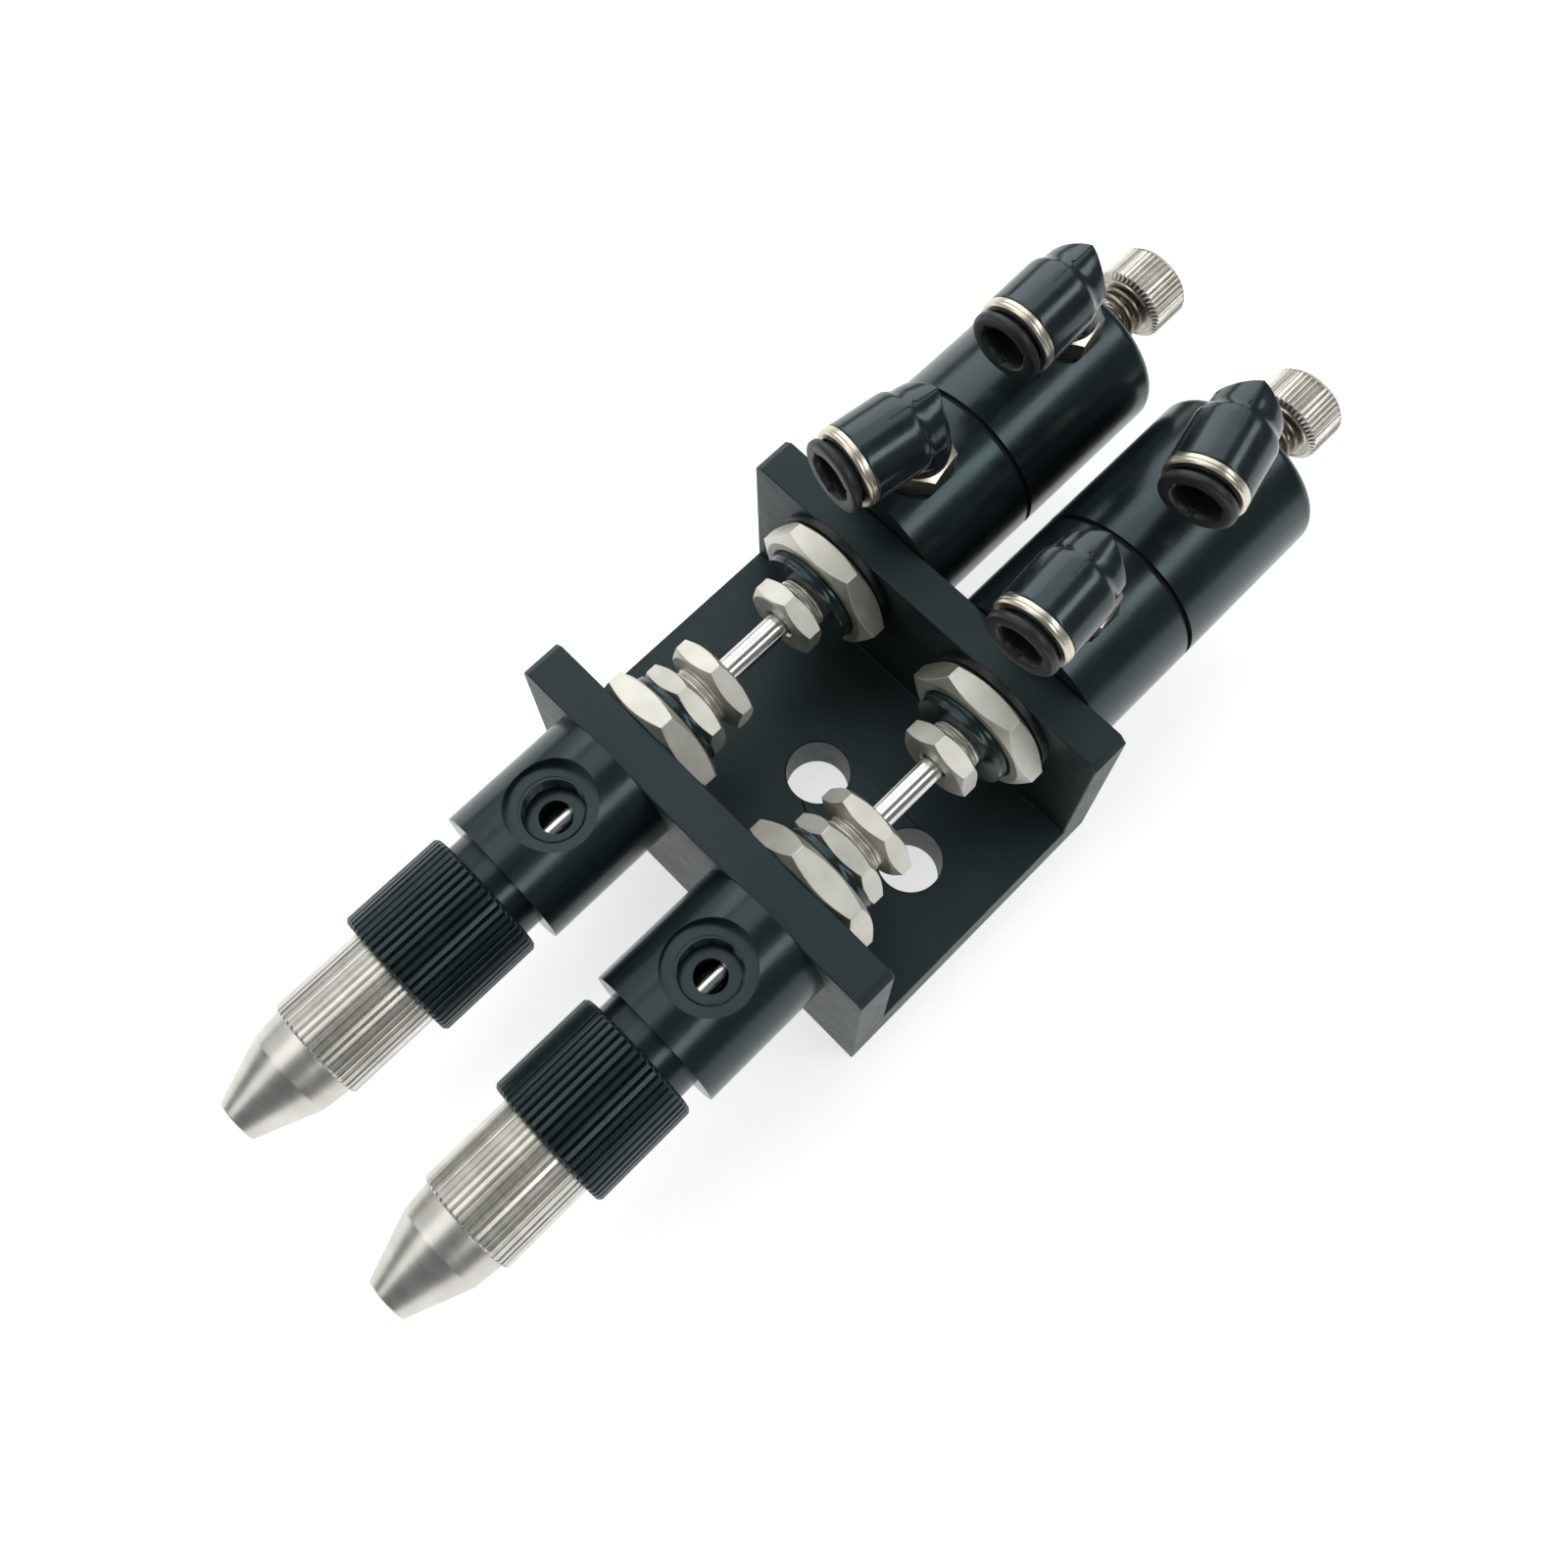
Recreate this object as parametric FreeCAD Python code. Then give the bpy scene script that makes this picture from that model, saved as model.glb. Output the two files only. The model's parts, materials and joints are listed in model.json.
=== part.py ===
"""Twin air-operated needle valve: two identical valve heads side by side on one milled U bracket.

Frame: +X across the two heads, +Y along them from the nozzles to the adjusting screws, +Z up out of
the ports. The origin is where the centre base hole's axis meets the bracket's underside. Each head is
modelled about its own axis (the Y axis) and then placed in the bracket. Sizes are in millimetres.
"""

import FreeCAD, Part
import math
import os
from FreeCAD import Vector

X_AXIS = Vector(1, 0, 0)
Y_AXIS = Vector(0, 1, 0)
Z_AXIS = Vector(0, 0, 1)

# ---- clearances -------------------------------------------------------------------------------
thread_clear = 0.05     # radial, screwed or seated pieces that stay put
running_clear = 0.08    # radial, a piece that turns or slides in its mate
loose_clear = 0.30      # radial or axial, pieces that pass each other without touching
hole_clear = 0.15       # radial, a threaded nose through its flange hole

# ---- bracket ----------------------------------------------------------------------------------
bracket_w = 60.0        # across the heads
flange_gap = 35.6       # between the inner faces of the flanges
flange_t = 5.8
bracket_h = 37.0
base_t = 9.2
base_hole_d = 9.0
base_hole_pitch = 17.7
corner_chamfer = 1.0

# ---- heads ------------------------------------------------------------------------------------
head_pitch = 28.0       # between the two head axes
axis_z = 28.8           # head axes above the underside
nose_thread_d = 14.0    # threaded noses that pass through the flanges
big_nut_af = 18.0
big_nut_t = 4.0
washer_t = 1.1
washer_d = 19.0
needle_d = 3.5
needle_lift = 3.0

# ---- valve body -------------------------------------------------------------------------------
body_d = 20.0
body_len = 19.1         # in front of the front flange
neck_d = 14.5
neck_gap = 2.6          # neck seen between the body and the knurled collar
fluid_bore_d = 4.8
body_nose_out = 5.45    # threaded nose beyond the front flange's inner face
port_back = 9.4         # port axis in front of the front flange
port_face_d = 12.0
port_face_drop = 3.2    # spot face below the top of the body
port_thread_d = 8.7
port_thread_len = 3.2
port_hole_d = 4.4
packing_d = 8.0
packing_len = 5.0
packing_seat = 9.9      # packing front face in front of the front flange's inner face

# ---- knurled collar and nozzle ----------------------------------------------------------------
collar_d = 18.5
collar_len = 15.0
collar_recess = 1.0     # how far the neck and the nozzle nut run into the collar's ends
collar_bore_d = 12.0
collar_chamfer = 0.6
nozzle_knurl_d = 14.2
nozzle_knurl_len = 12.8  # in front of the collar
nozzle_band_back_d = 13.1  # tapered band, where it meets the knurl
nozzle_band_d = 12.2    # small end of the tapered band
nozzle_band_len = 3.95
nozzle_cone_len = 8.05
nozzle_tip_d = 5.9
nozzle_bore_d = 2.4
stem_d = 9.0
stem_seat_back = 4.0    # needle seat behind the nozzle tip's inner face
stem_bore_d = 4.6
seat_d = 1.8
needle_point_len = 4.5
needle_point_d = 1.0

# ---- gland ------------------------------------------------------------------------------------
gland_af = 12.4
gland_hex_t = 3.0
gland_thread_d = 8.0
gland_gap = 1.95        # thread seen between the lock nut and the screw's head
rod_pass_d = needle_d + 2 * loose_clear  # plain bores that the needle passes

# ---- air cylinder -----------------------------------------------------------------------------
cyl_d = 25.0
cyl_bore_d = 20.0
cyl_len = 43.6          # behind the rear flange
barrel_len = 17.5
seam_w = 0.9
front_wall = 4.0
rear_wall = 4.0
cap_spigot_len = 4.0
cap_spigot_wall = 1.0
rear_edge_r = 1.6
cyl_nose_out = 6.8      # threaded nose beyond the rear flange's inner face
bush_af = 10.0
bush_hex_t = 3.1
bush_gap = 1.6          # thread seen between the bush's hexagon and the nose
bush_thread_d = 7.0
bush_len = 13.0         # threaded length
seal_len = 2.4
seal_d = 7.4
piston_len = 6.0
piston_back = 20.4      # piston front face behind the rear flange's outer face
piston_clear = 0.3
piston_ring_w = 2.0
piston_ring_h = 1.6
piston_nut_af = 6.0
piston_nut_t = 2.6
needle_tail_d = 3.0
needle_tail_out = 1.0

# ---- adjusting screw --------------------------------------------------------------------------
screw_d = 5.0
screw_head_d = 11.5
screw_head_len = 6.8
screw_head_gap = 8.5    # spring space between the cap and the head
screw_chamfer = 0.7
spring_d = 7.6
spring_wire = 1.0
spring_turns = 3.5

# ---- push-in elbows ---------------------------------------------------------------------------
front_stud_y = 7.8      # behind the rear flange's outer face
rear_stud_y = 36.3
stud_face_drop = 0.9    # spot face below the cylinder's top
stud_face_d = 10.6
stud_thread_d = 5.0
stud_thread_len = 1.1
stud_af = 9.0
stud_hex_t = 4.0
stud_journal_d = 5.2
stud_journal_len = 5.0
stud_bore_d = 2.4
elbow_d = 11.2
elbow_rise = 23.7       # elbow mouth axis above the head axis
elbow_reach = 14.2      # release collar face from the stud axis
elbow_shoulder = 2.4    # full width ends this far before the stud axis
elbow_heel_d = 9.8      # narrower heel behind the shoulder
elbow_heel_back = 1.6   # where the heel starts to close, beyond the stud axis
elbow_back = 3.6        # elbow body beyond the stud axis
elbow_boss_d = 8.6
mouth_bore_d = 9.0
mouth_depth = 7.0
mouth_ring_w = 1.4
release_out = 2.0       # release collar beyond the mouth ring
release_flange_d = 10.4
release_flange_t = 1.2
release_sleeve_d = 8.2
release_sleeve_len = 5.0
tube_d = 6.2

# heads: name, side, swivel of front and rear elbow mouths from -Y, turns of the six hexagons
HEADS = (
    ("left", -1, (-8.5, 1.5), dict(body=15.2, gland_nut=30.4, gland=22.8, bush=26.0, cylinder=1.6)),
    ("right", 1, (4.0, 14.0), dict(body=43.4, gland_nut=50.7, gland=0.5, bush=38.0, cylinder=0.4)),
)

# ---- derived stations along a head's axis -----------------------------------------------------
front_in = -flange_gap / 2
front_out = front_in - flange_t
rear_in = flange_gap / 2
rear_out = rear_in + flange_t
body_front = front_out - body_len
collar_back = body_front - neck_gap
collar_front = collar_back - collar_len
knurl_front = collar_front - nozzle_knurl_len
band_front = knurl_front - nozzle_band_len
tip = band_front - nozzle_cone_len
seat_y = tip + 3.0 + stem_seat_back
stem_front = tip + 7.4
spigot_front = collar_front + 7.4
body_nose_end = front_in + body_nose_out
packing_front = front_in - packing_seat
packing_back = packing_front + packing_len
gland_nut_back = body_nose_end + gland_hex_t
gland_head_front = gland_nut_back + gland_gap
gland_head_back = gland_head_front + gland_hex_t
cyl_nose_front = rear_in - cyl_nose_out
bush_hex_back = cyl_nose_front - bush_gap
bush_hex_front = bush_hex_back - bush_hex_t
bush_back = bush_hex_back + bush_len
seal_back = bush_back + seal_len
bore_front = rear_out + front_wall
barrel_back = rear_out + barrel_len
cap_front = barrel_back + seam_w
cyl_back = rear_out + cyl_len
bore_back = cyl_back - rear_wall
spigot_tip = barrel_back - cap_spigot_len
piston_front = rear_out + piston_back
piston_rear = piston_front + piston_len
needle_back = piston_rear + piston_nut_t + needle_tail_out
screw_tip = needle_back + needle_lift + 0.1
head_front = cyl_back + screw_head_gap
head_back = head_front + screw_head_len
stud_face = cyl_d / 2 - stud_face_drop
stud_hex_top = stud_face + stud_hex_t
journal_top = stud_hex_top + stud_journal_len


# ---- helpers ----------------------------------------------------------------------------------
def turned(profile):
    """Solid of revolution about Y from (y, radius) points."""
    wire = Part.makePolygon([Vector(r, y, 0) for y, r in profile + profile[:1]])
    return Part.Face(wire).revolve(Vector(), Y_AXIS, 360)


def rod(d, y0, y1):
    """Cylinder about the head's axis from y0 to y1."""
    return Part.makeCylinder(d / 2, y1 - y0, Vector(0, y0, 0), Y_AXIS)


def post(d, z0, z1, y=0.0):
    """Upright cylinder on the head's middle plane."""
    return Part.makeCylinder(d / 2, z1 - z0, Vector(0, y, z0), Z_AXIS)


def hexagon(af, t, turn, chamfer_one_side=False):
    """Hexagonal prism along +Y from y = 0, a corner at `turn` degrees from +X, corners chamfered."""
    rc = af / 2 / math.cos(math.pi / 6)
    points = []
    for k in range(7):
        a = math.radians(turn + 60 * k)
        points.append(Vector(rc * math.cos(a), 0, rc * math.sin(a)))
    prism = Part.Face(Part.makePolygon(points)).extrude(Vector(0, t, 0))
    flat_r = af / 2 * 0.96
    drop = (rc - flat_r) * math.tan(math.radians(30))
    back = [(t, flat_r), (t, 0)]
    if not chamfer_one_side:
        back = [(t - drop, rc)] + back
    else:
        back = [(t, rc), (t, 0)]
    return prism.common(turned([(0, 0), (0, flat_r), (drop, rc)] + back))


def moved(shape, y=0.0, z=0.0):
    out = shape.copy()
    out.translate(Vector(0, y, z))
    return out


def upright(shape):
    """Turns a shape built along +Y to stand along +Z."""
    out = shape.copy()
    out.rotate(Vector(), X_AXIS, 90)
    return out


# ---- bracket ----------------------------------------------------------------------------------
def make_bracket():
    length = flange_gap + 2 * flange_t
    block = Part.makeBox(bracket_w, length, bracket_h, Vector(-bracket_w / 2, -length / 2, 0))
    gap = Part.makeBox(bracket_w + 2, flange_gap, bracket_h, Vector(-bracket_w / 2 - 1, front_in, base_t))
    block = block.cut(gap)
    for k in (0, 1):
        block = block.cut(Part.makeCylinder(base_hole_d / 2, base_t + 2, Vector(k * base_hole_pitch, 0, -1)))
    for side in (-1, 1):
        centre = Vector(side * head_pitch / 2, -length / 2 - 1, axis_z)
        hole = Part.makeCylinder(nose_thread_d / 2 + hole_clear, length + 2, centre, Y_AXIS)
        block = block.cut(hole)
    half = bracket_w / 2
    for side in (-1, 1):
        corner = Part.makePolygon([
            Vector(side * half, -length, bracket_h),
            Vector(side * (half - corner_chamfer), -length, bracket_h),
            Vector(side * half, -length, bracket_h - corner_chamfer),
            Vector(side * half, -length, bracket_h)])
        block = block.cut(Part.Face(corner).extrude(Vector(0, 2 * length, 0)))
    return block


# ---- nozzle, collar and valve body ------------------------------------------------------------
def make_nozzle_nut():
    back = collar_front + collar_recess
    body = turned([(tip, 0), (tip, nozzle_tip_d / 2), (band_front, nozzle_band_d / 2),
                   (knurl_front, nozzle_band_back_d / 2), (knurl_front, nozzle_knurl_d / 2),
                   (back, nozzle_knurl_d / 2), (back, 0)])
    body = body.cut(rod(nozzle_bore_d, tip - 1, back))
    return body.cut(rod(stem_d + 2 * running_clear, stem_front - loose_clear, back + 1))


def make_collar():
    r = collar_d / 2
    body = turned([(collar_front, 0), (collar_front, r - collar_chamfer), (collar_front + collar_chamfer, r),
                   (collar_back - collar_chamfer, r), (collar_back, r - collar_chamfer), (collar_back, 0)])
    body = body.cut(rod(collar_bore_d + 2 * running_clear, collar_front - 1, collar_back + 1))
    front_recess = rod(nozzle_knurl_d + 2 * loose_clear, collar_front - 1,
                       collar_front + collar_recess + loose_clear)
    back_recess = rod(neck_d + 2 * loose_clear, collar_back - collar_recess - loose_clear, collar_back + 1)
    return body.cut(front_recess).cut(back_recess)


def make_stem():
    """Hollow stem screwed into the valve body; its cone is the needle's seat."""
    flange_back = spigot_front
    flange_front = collar_front + collar_recess + loose_clear
    flange_r = collar_bore_d / 2 - loose_clear
    thread_back = spigot_front + 6.0
    body = turned([(stem_front, 0), (stem_front, stem_d / 2), (flange_front, stem_d / 2),
                   (flange_front, flange_r), (flange_back, flange_r), (flange_back, stem_d / 2 - 0.7),
                   (thread_back, stem_d / 2 - 0.7), (thread_back, 0)])
    cone_len = needle_point_len * (stem_bore_d - seat_d) / (needle_d - needle_point_d)
    bore = turned([(stem_front - 1, 0), (stem_front - 1, seat_d / 2), (seat_y, seat_d / 2),
                   (seat_y + cone_len, stem_bore_d / 2), (thread_back + 1, stem_bore_d / 2),
                   (thread_back + 1, 0)])
    return body.cut(bore)


def make_valve_body():
    neck_front = collar_back - collar_recess
    nose_r = nose_thread_d / 2
    body = turned([(spigot_front, 0), (spigot_front, collar_bore_d / 2), (neck_front, collar_bore_d / 2),
                   (neck_front, neck_d / 2), (body_front, neck_d / 2), (body_front, body_d / 2),
                   (front_out, body_d / 2), (front_out, nose_r), (body_nose_end, nose_r),
                   (body_nose_end, 0)])
    body = body.cut(rod(fluid_bore_d, spigot_front - 1, packing_front))
    body = body.cut(rod(stem_d - 1.4 + 2 * thread_clear, spigot_front - 1, spigot_front + 6.2))
    body = body.cut(rod(packing_d + 2 * thread_clear, packing_front, body_nose_end + 1))
    y = front_out - port_back
    face_z = body_d / 2 - port_face_drop
    body = body.cut(post(port_face_d, face_z, body_d, y))
    body = body.cut(post(port_thread_d, face_z - port_thread_len, face_z + 1, y))
    return body.cut(post(port_hole_d, 0, face_z, y))


def make_packing():
    return rod(packing_d, packing_front, packing_back).cut(
        rod(needle_d + 2 * running_clear, packing_front - 1, packing_back + 1))


def make_body_nut(turn):
    nut = moved(hexagon(big_nut_af, big_nut_t, turn), front_in)
    return nut.cut(rod(nose_thread_d + 2 * thread_clear, front_in - 1, front_in + big_nut_t + 1))


def make_gland_nut(turn):
    nut = moved(hexagon(gland_af, gland_hex_t, turn), body_nose_end)
    return nut.cut(rod(gland_thread_d + 2 * thread_clear, body_nose_end - 1, gland_nut_back + 1))


def make_gland_screw(turn):
    head = moved(hexagon(gland_af, gland_hex_t, turn), gland_head_front)
    shank = rod(gland_thread_d, packing_back, gland_head_front)
    return head.fuse(shank).removeSplitter().cut(rod(rod_pass_d, packing_back - 1, gland_head_back + 1))


# ---- needle, bush and cylinder ----------------------------------------------------------------
def make_needle():
    point_back = seat_y + needle_point_len + 0.1
    r = needle_d / 2
    tail_r = needle_tail_d / 2
    return turned([(seat_y + 0.1, 0), (seat_y + 0.1, needle_point_d / 2), (point_back, r),
                   (piston_front, r), (piston_front, tail_r), (needle_back, tail_r), (needle_back, 0)])


def make_rod_bush(turn):
    head = moved(hexagon(bush_af, bush_hex_t, turn), bush_hex_front)
    shank = rod(bush_thread_d, bush_hex_back, bush_back)
    return head.fuse(shank).removeSplitter().cut(rod(rod_pass_d, bush_hex_front - 1, bush_back + 1))


def make_rod_seal():
    return rod(seal_d, bush_back, seal_back).cut(
        rod(needle_d + 2 * running_clear, bush_back - 1, seal_back + 1))


def make_washer():
    return rod(washer_d, rear_in - washer_t, rear_in).cut(
        rod(nose_thread_d + 2 * thread_clear, rear_in - washer_t - 1, rear_in + 1))


def make_cylinder_nut(turn):
    back = rear_in - washer_t
    nut = moved(hexagon(big_nut_af, big_nut_t, turn), back - big_nut_t)
    return nut.cut(rod(nose_thread_d + 2 * thread_clear, back - big_nut_t - 1, back + 1))


def stud_seat(shape, y):
    """Spot face and tapped hole for a fitting on the cylinder's top."""
    shape = shape.cut(post(stud_face_d, stud_face, cyl_d, y))
    return shape.cut(post(stud_thread_d + 2 * thread_clear, stud_face - stud_thread_len - 3, stud_face + 1, y))


def make_barrel():
    r = cyl_d / 2
    nose_r = nose_thread_d / 2
    body = turned([(cyl_nose_front, 0), (cyl_nose_front, nose_r), (rear_out, nose_r), (rear_out, r),
                   (barrel_back, r), (barrel_back, 0)])
    body = body.cut(rod(bush_thread_d + 2 * thread_clear, cyl_nose_front - 1, bush_back))
    body = body.cut(rod(seal_d + 2 * thread_clear, bush_back, seal_back))
    body = body.cut(rod(rod_pass_d, seal_back - 1, bore_front + 1))
    body = body.cut(rod(cyl_bore_d, bore_front, barrel_back + 1))
    spigot_d = cyl_bore_d + 2 * (cap_spigot_wall + thread_clear)
    body = body.cut(rod(spigot_d, spigot_tip, barrel_back + 1))
    return stud_seat(body, rear_out + front_stud_y)


def make_seam_ring():
    inner = cyl_bore_d + 2 * (cap_spigot_wall + thread_clear)
    return rod(cyl_d - 2 * 0.8, barrel_back, cap_front).cut(rod(inner, barrel_back - 1, cap_front + 1))


def make_cap():
    r = cyl_d / 2
    spigot_r = cyl_bore_d / 2 + cap_spigot_wall
    body = turned([(spigot_tip, 0), (spigot_tip, spigot_r), (cap_front, spigot_r), (cap_front, r),
                   (cyl_back, r), (cyl_back, 0)])
    rim = [e for e in body.Edges if abs(e.BoundBox.YMin - cyl_back) < 1e-6 and e.BoundBox.XMax > r - 0.01
           and abs(e.BoundBox.YMax - cyl_back) < 1e-6]
    body = body.makeFillet(rear_edge_r, rim)
    body = body.cut(rod(cyl_bore_d, spigot_tip - 1, bore_back))
    body = body.cut(rod(screw_d + 2 * running_clear, bore_back - 1, cyl_back + 1))
    return stud_seat(body, rear_out + rear_stud_y)


def make_piston():
    r = cyl_bore_d / 2 - piston_clear
    groove = piston_front + (piston_len - piston_ring_w) / 2
    body = turned([(piston_front, 0), (piston_front, r), (groove, r), (groove, r - piston_ring_h),
                   (groove + piston_ring_w, r - piston_ring_h), (groove + piston_ring_w, r),
                   (piston_rear, r), (piston_rear, 0)])
    return body.cut(rod(needle_tail_d + 2 * thread_clear, piston_front - 1, piston_rear + 1))


def make_piston_seal():
    groove = piston_front + (piston_len - piston_ring_w) / 2
    inner_d = cyl_bore_d - 2 * (piston_clear + piston_ring_h - thread_clear)
    ring = rod(cyl_bore_d - 2 * running_clear, groove, groove + piston_ring_w)
    return ring.cut(rod(inner_d, groove - 1, groove + piston_ring_w + 1))


def make_piston_nut():
    nut = moved(hexagon(piston_nut_af, piston_nut_t, 0), piston_rear)
    return nut.cut(rod(needle_tail_d + 2 * thread_clear, piston_rear - 1, piston_rear + piston_nut_t + 1))


def make_screw():
    r = screw_d / 2
    head_r = screw_head_d / 2
    return turned([(screw_tip, 0), (screw_tip, r), (head_front, r), (head_front, head_r - screw_chamfer),
                   (head_front + screw_chamfer, head_r), (head_back - screw_chamfer, head_r),
                   (head_back, head_r - screw_chamfer), (head_back, 0)])


def make_spring():
    """Round wire coil; its end turns rest on the cap and under the screw's head."""
    r = (spring_d - spring_wire) / 2
    height = screw_head_gap - spring_wire - 0.1
    helix = Part.makeLongHelix(height / spring_turns, height, r)
    start = helix.Edges[0]
    along = start.tangentAt(start.FirstParameter)
    section = Part.Wire(Part.makeCircle(spring_wire / 2, Vector(r, 0, 0), along))
    coil = Part.Wire(helix).makePipeShell([section], True, True)
    coil.rotate(Vector(), X_AXIS, -90)
    coil.translate(Vector(0, cyl_back + spring_wire / 2 + 0.05, 0))
    return coil


# ---- push-in elbow, built on a stud at the origin with its mouth along -Y ----------------------
def make_stud():
    hexa = moved(upright(hexagon(stud_af, stud_hex_t, 20)), 0, stud_face)
    thread = post(stud_thread_d, stud_face - stud_thread_len, stud_face)
    journal = post(stud_journal_d, stud_hex_top, journal_top)
    body = hexa.fuse([thread, journal]).removeSplitter()
    return body.cut(post(stud_bore_d, stud_face - stud_thread_len - 1, journal_top + 1))


def mouth_stations():
    """Y stations of an elbow's mouth: collar face, ring front, ring back."""
    face = -elbow_reach
    ring_front = face + release_out
    return face, ring_front, ring_front + mouth_ring_w


def make_elbow():
    face, ring_front, ring_back = mouth_stations()
    boss_bottom = stud_hex_top + loose_clear
    r = elbow_d / 2
    heel_r = elbow_heel_d / 2
    barrel = turned([(ring_back, 0), (ring_back, r), (-elbow_shoulder, r), (-elbow_shoulder + 1, heel_r),
                     (elbow_heel_back, heel_r), (elbow_back, heel_r / 2), (elbow_back, 0)])
    boss = post(elbow_boss_d, boss_bottom, elbow_rise)
    body = moved(barrel, 0, elbow_rise).fuse(boss).removeSplitter()
    body = body.cut(moved(rod(mouth_bore_d, ring_front - 1, ring_front + mouth_depth), 0, elbow_rise))
    body = body.cut(moved(rod(stud_bore_d, ring_front, 1.0), 0, elbow_rise))
    body = body.cut(post(stud_bore_d, journal_top, elbow_rise))
    return body.cut(post(stud_journal_d + 2 * running_clear, boss_bottom - 1, journal_top + loose_clear))


def make_mouth_ring():
    face, ring_front, ring_back = mouth_stations()
    ring = moved(rod(elbow_d, ring_front, ring_back), 0, elbow_rise)
    return ring.cut(moved(rod(mouth_bore_d, ring_front - 1, ring_back + 1), 0, elbow_rise))


def make_release():
    face = mouth_stations()[0]
    flange = rod(release_flange_d, face, face + release_flange_t)
    sleeve = rod(release_sleeve_d, face + release_flange_t, face + release_flange_t + release_sleeve_len)
    body = flange.fuse(sleeve).removeSplitter()
    return moved(body.cut(rod(tube_d, face - 1, elbow_reach)), 0, elbow_rise)


def fitting(prefix, y, swivel):
    """The four pieces of one elbow, swivelled about its stud and set at station y."""
    pieces = {
        prefix + "_stud": make_stud(),
        prefix + "_elbow": make_elbow(),
        prefix + "_ring": make_mouth_ring(),
        prefix + "_release": make_release(),
    }
    for name, shape in pieces.items():
        if not name.endswith("_stud"):
            shape.rotate(Vector(), Z_AXIS, swivel)
        shape.translate(Vector(0, y, 0))
    return pieces


# ---- one head ---------------------------------------------------------------------------------
def make_head(swivels, turns):
    pieces = {
        "nozzle_nut": make_nozzle_nut(),
        "knurled_collar": make_collar(),
        "nozzle_stem": make_stem(),
        "valve_body": make_valve_body(),
        "body_nut": make_body_nut(turns["body"]),
        "packing": make_packing(),
        "gland_nut": make_gland_nut(turns["gland_nut"]),
        "gland_screw": make_gland_screw(turns["gland"]),
        "needle": make_needle(),
        "rod_bush": make_rod_bush(turns["bush"]),
        "rod_seal": make_rod_seal(),
        "flange_washer": make_washer(),
        "cylinder_nut": make_cylinder_nut(turns["cylinder"]),
        "cylinder_barrel": make_barrel(),
        "seam_ring": make_seam_ring(),
        "cylinder_cap": make_cap(),
        "piston": make_piston(),
        "piston_seal": make_piston_seal(),
        "piston_nut": make_piston_nut(),
        "adjusting_screw": make_screw(),
        "adjusting_spring": make_spring(),
    }
    pieces.update(fitting("front", rear_out + front_stud_y, swivels[0]))
    pieces.update(fitting("rear", rear_out + rear_stud_y, swivels[1]))
    return pieces


def save(name, shape):
    if not shape.isValid():
        raise ValueError(name + " is not a valid shape")
    shape.exportStep("parts/" + name + ".step")


def main():
    os.makedirs("parts", exist_ok=True)
    save("bracket", make_bracket())
    for side_name, side, swivels, turns in HEADS:
        for name, shape in make_head(swivels, turns).items():
            shape.translate(Vector(side * head_pitch / 2, 0, axis_z))
            save(side_name + "_" + name, shape)


main()
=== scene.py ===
"""Looks for the twin air-operated needle valve: detailed meshes and procedural materials on the CAD frame.

Millimetres are used while meshes are built; MM turns them into the frame's metres.
"""

import json
import math

import bmesh
import bpy
from mathutils import Matrix, Vector


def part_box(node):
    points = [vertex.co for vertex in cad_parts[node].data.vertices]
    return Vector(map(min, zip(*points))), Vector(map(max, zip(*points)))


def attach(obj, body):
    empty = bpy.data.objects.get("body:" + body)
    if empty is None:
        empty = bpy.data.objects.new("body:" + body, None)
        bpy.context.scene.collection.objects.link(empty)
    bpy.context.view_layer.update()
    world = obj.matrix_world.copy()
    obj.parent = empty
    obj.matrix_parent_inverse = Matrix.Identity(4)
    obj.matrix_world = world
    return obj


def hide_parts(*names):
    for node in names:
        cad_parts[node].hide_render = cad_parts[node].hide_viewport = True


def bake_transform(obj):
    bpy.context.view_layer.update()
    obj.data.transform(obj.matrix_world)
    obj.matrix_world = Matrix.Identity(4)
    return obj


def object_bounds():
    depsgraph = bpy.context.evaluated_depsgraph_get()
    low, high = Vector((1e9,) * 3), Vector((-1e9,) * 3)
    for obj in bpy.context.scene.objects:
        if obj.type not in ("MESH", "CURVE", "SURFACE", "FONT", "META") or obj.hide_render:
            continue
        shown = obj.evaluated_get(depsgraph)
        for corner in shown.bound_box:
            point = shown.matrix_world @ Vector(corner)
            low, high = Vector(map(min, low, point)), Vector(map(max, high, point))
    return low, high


MM = 0.001
TAU = 2 * math.pi

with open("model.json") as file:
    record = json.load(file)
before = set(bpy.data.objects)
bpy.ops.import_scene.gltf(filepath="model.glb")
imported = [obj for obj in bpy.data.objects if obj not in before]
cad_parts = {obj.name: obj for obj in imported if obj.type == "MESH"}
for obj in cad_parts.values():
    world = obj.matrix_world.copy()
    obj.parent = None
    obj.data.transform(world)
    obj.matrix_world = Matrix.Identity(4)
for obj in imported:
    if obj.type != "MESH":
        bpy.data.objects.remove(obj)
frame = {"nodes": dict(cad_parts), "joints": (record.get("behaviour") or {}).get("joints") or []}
cad_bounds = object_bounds()
nodes = frame["nodes"]


# ---- frame sizes --------------------------------------------------------------------------------
def span(node, axis):
    """Lowest and highest coordinate of a CAD node along an axis, in millimetres."""
    low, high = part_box(node)
    return low[axis] / MM, high[axis] / MM


def middle(node, axis):
    """Middle of a CAD node along an axis, in millimetres."""
    low, high = span(node, axis)
    return (low + high) / 2


def width(node, axis):
    """Size of a CAD node along an axis, in millimetres."""
    low, high = span(node, axis)
    return high - low


AXIS_Z = middle("left_knurled_collar", 2)       # height of both heads' axes
HEAD_X = {side: middle(side + "_knurled_collar", 0) for side in ("left", "right")}


# ---- mesh building ------------------------------------------------------------------------------
TINY = 1e-6


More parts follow.
